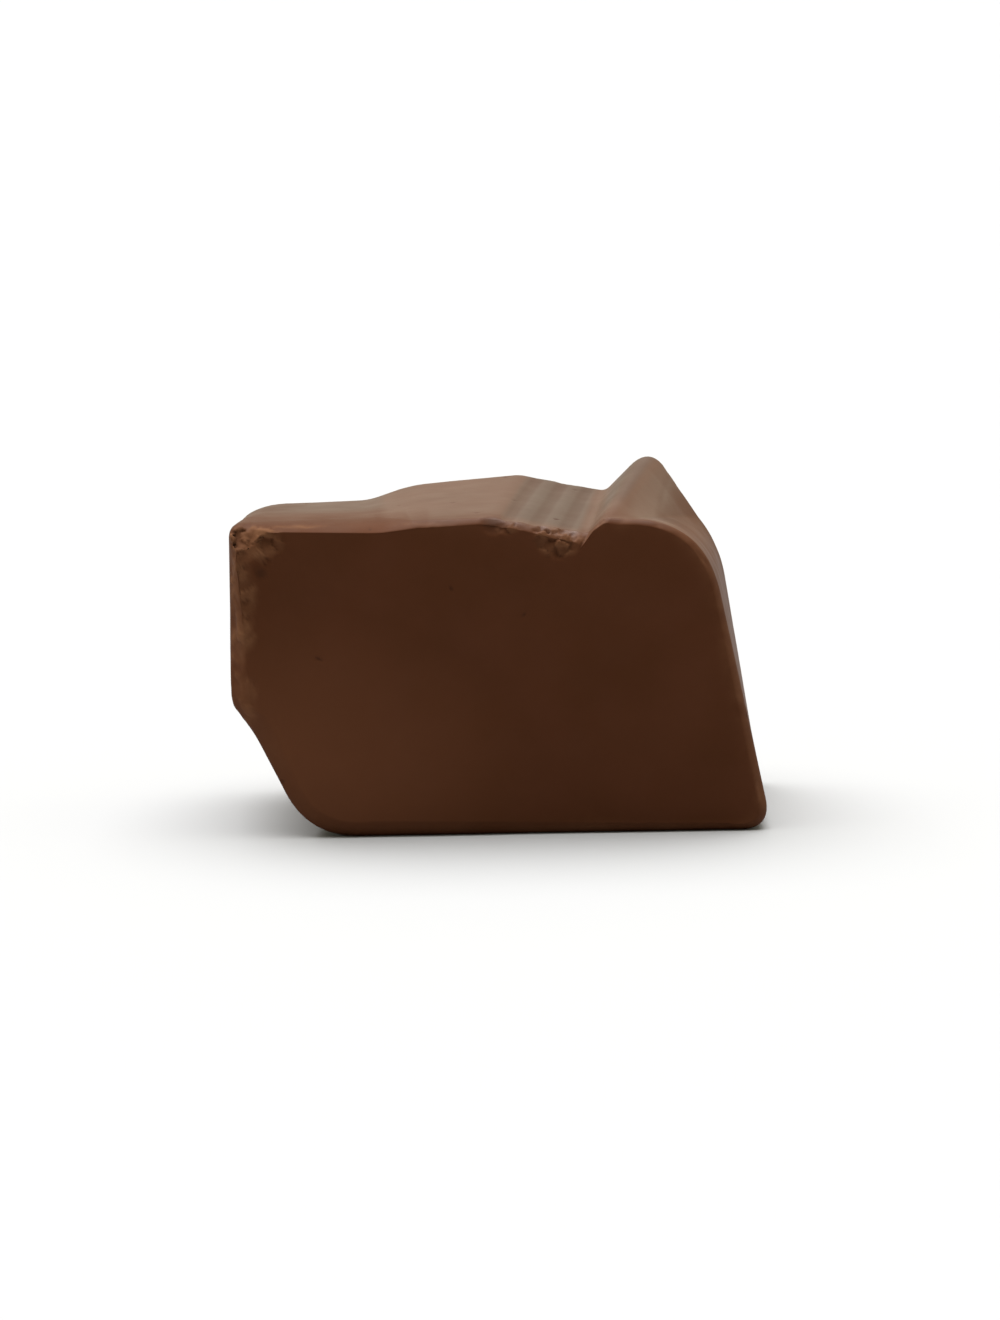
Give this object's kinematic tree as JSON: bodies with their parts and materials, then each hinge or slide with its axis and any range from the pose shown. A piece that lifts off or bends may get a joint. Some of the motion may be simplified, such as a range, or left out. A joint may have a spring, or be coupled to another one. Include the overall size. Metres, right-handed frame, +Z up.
{
  "type": "chocolate chunk",
  "caption": "Rough chunk snapped off a thick slab of brown chocolate, with a flat front break, a ribbed valley and a raised hump on top, resting on its flat underside.",
  "frame": {"origin": "middle of the bounding box at the flat underside, on the surface the chunk rests on", "axes": "+X to the right along the long front break, +Y from the front break towards the back break, +Z up"},
  "size_m": [0.051, 0.026, 0.0312],
  "materials": {
    "chocolate": null
  },
  "bodies": {
    "root": {"chocolate_chunk": "chocolate"}
  },
  "joints": []
}
